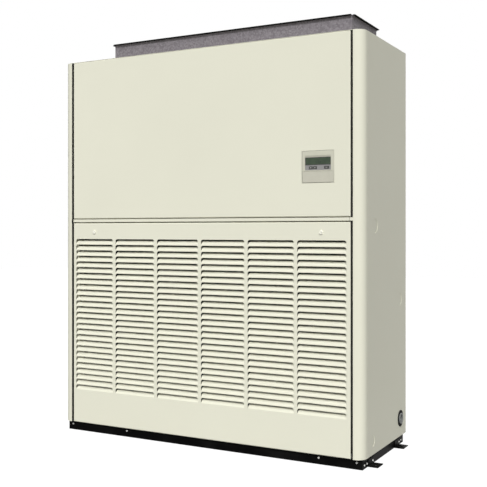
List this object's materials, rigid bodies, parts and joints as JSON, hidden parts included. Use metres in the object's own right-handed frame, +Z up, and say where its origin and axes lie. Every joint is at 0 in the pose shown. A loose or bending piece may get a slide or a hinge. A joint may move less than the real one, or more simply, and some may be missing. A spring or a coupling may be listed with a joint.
{
  "type": "floor standing air conditioner",
  "caption": "Tall floor standing ducted air conditioner: white steel cabinet, louvred intake panel, wired controller, black base with anchor feet and a discharge collar on top.",
  "frame": {"origin": "on the floor under the middle of the cabinet", "axes": "+X to the right seen from the front, +Y to the back, +Z up; the louvred front faces -Y"},
  "size_m": [1.458, 0.5091, 1.73],
  "materials": {
    "cabinet_paint": "warm white semi-gloss baked enamel",
    "base_paint": "black paint",
    "duct_steel": "dull zinc coated sheet",
    "zinc_steel": "zinc plated sheet",
    "steel_shaft": "ground steel",
    "cast_iron": "grey machine paint",
    "remote_plastic": "moulded warm white plastic",
    "key_plastic": "dark grey keys",
    "strip_plastic": "grey film",
    "display": "green grey liquid crystal window",
    "drain_plastic": "grey moulded plastic",
    "rubber": "black rubber",
    "filter_mesh": "dark woven plastic net",
    "coil_fin": "coated aluminium fins",
    "copper": "drawn copper",
    "board": "green circuit board",
    "terminal_plastic": "black moulded terminal block"
  },
  "bodies": {
    "cabinet": {"right_corner_post": "cabinet_paint", "left_corner_post": "cabinet_paint", "left_side_panel": "cabinet_paint", "right_side_panel": "cabinet_paint", "lower_back_panel": "cabinet_paint", "upper_back_panel": "cabinet_paint", "top_panel": "cabinet_paint", "mid_rail": "cabinet_paint", "mid_rail_brackets": "cabinet_paint", "upper_front_panel": "cabinet_paint", "base_front_rail": "base_paint", "base_rear_rail": "base_paint", "base_side_rails": "base_paint", "anchor_brackets": "base_paint", "duct_collar": "duct_steel", "hinge_brackets": "zinc_steel", "remote_bracket": "zinc_steel", "drain_pan": "zinc_steel", "pan_supports": "zinc_steel", "filter_rails": "zinc_steel", "coil_end_plates": "zinc_steel", "fan_deck": "zinc_steel", "fan_scrolls": "zinc_steel", "bearing_stands": "zinc_steel", "motor_rails": "zinc_steel", "control_box": "zinc_steel", "control_box_cover": "zinc_steel", "fan_bearings": "cast_iron", "motor_body": "cast_iron", "remote_housing": "remote_plastic", "remote_back_plate": "remote_plastic", "key_strip": "strip_plastic", "display_window": "display", "drain_socket": "drain_plastic", "drain_grommet": "rubber", "drive_belt": "rubber", "coil_fins": "coil_fin", "coil_header": "copper", "gas_pipe": "copper", "liquid_pipe": "copper", "control_board": "board", "terminal_block": "terminal_plastic"},
    "fan_rotor": {"fan_shaft": "steel_shaft", "fan_wheels": "zinc_steel", "fan_pulley": "cast_iron"},
    "motor_rotor": {"motor_shaft": "steel_shaft", "motor_pulley": "cast_iron"},
    "intake_panel": {"intake_panel": "cabinet_paint"},
    "left_knob": {"left_knob": "cabinet_paint"},
    "right_knob": {"right_knob": "cabinet_paint"},
    "left_filter": {"left_filter": "filter_mesh"},
    "right_filter": {"right_filter": "filter_mesh"},
    "remote_flap": {"remote_flap": "remote_plastic"},
    "temp_down_key": {"temp_down_key": "key_plastic"},
    "temp_up_key": {"temp_up_key": "key_plastic"},
    "power_key": {"power_key": "key_plastic"},
    "menu_key_1": {"menu_key_1": "key_plastic"},
    "menu_key_2": {"menu_key_2": "key_plastic"},
    "menu_key_3": {"menu_key_3": "key_plastic"}
  },
  "joints": [
    {"name": "fan_spin", "type": "hinge", "parent": "cabinet", "child": "fan_rotor", "pos_m": [0, -0.019, 1.34898], "axis": [1, 0, 0], "continuous": true},
    {"name": "motor_spin", "type": "hinge", "parent": "cabinet", "child": "motor_rotor", "pos_m": [0.1, 0.1433, 1.058], "axis": [1, 0, 0], "continuous": true},
    {"name": "intake_panel_tilt", "type": "hinge", "parent": "cabinet", "child": "intake_panel", "pos_m": [0, -0.2425, 0.054], "axis": [1, 0, 0], "range_deg": [0, 25]},
    {"name": "left_knob_turn", "type": "hinge", "parent": "intake_panel", "child": "left_knob", "pos_m": [-0.533, -0.2525, 0.874], "axis": [0, 1, 0], "range_deg": [0, 90]},
    {"name": "right_knob_turn", "type": "hinge", "parent": "intake_panel", "child": "right_knob", "pos_m": [0.533, -0.2525, 0.874], "axis": [0, 1, 0], "range_deg": [0, 90]},
    {"name": "left_filter_lift", "type": "slide", "parent": "cabinet", "child": "left_filter", "axis": [0, 0, 1], "range_m": [0, 0.015]},
    {"name": "right_filter_lift", "type": "slide", "parent": "cabinet", "child": "right_filter", "axis": [0, 0, 1], "range_m": [0, 0.015]},
    {"name": "remote_flap_tilt", "type": "hinge", "parent": "cabinet", "child": "remote_flap", "pos_m": [0.519, -0.2509, 1.063], "axis": [1, 0, 0], "range_deg": [0, 105]},
    {"name": "temp_down_key_press", "type": "slide", "parent": "cabinet", "child": "temp_down_key", "axis": [0, 1, 0], "range_m": [0, 0.001], "stiffness_N_per_m": 400},
    {"name": "temp_up_key_press", "type": "slide", "parent": "cabinet", "child": "temp_up_key", "axis": [0, 1, 0], "range_m": [0, 0.001], "stiffness_N_per_m": 400},
    {"name": "power_key_press", "type": "slide", "parent": "cabinet", "child": "power_key", "axis": [0, 1, 0], "range_m": [0, 0.001], "stiffness_N_per_m": 400},
    {"name": "menu_key_1_press", "type": "slide", "parent": "cabinet", "child": "menu_key_1", "axis": [0, 1, 0], "range_m": [0, 0.001], "stiffness_N_per_m": 400},
    {"name": "menu_key_2_press", "type": "slide", "parent": "cabinet", "child": "menu_key_2", "axis": [0, 1, 0], "range_m": [0, 0.001], "stiffness_N_per_m": 400},
    {"name": "menu_key_3_press", "type": "slide", "parent": "cabinet", "child": "menu_key_3", "axis": [0, 1, 0], "range_m": [0, 0.001], "stiffness_N_per_m": 400}
  ],
  "couplings": [
    {"joint": "motor_spin", "follows": "fan_spin", "ratio": 1.6}
  ]
}
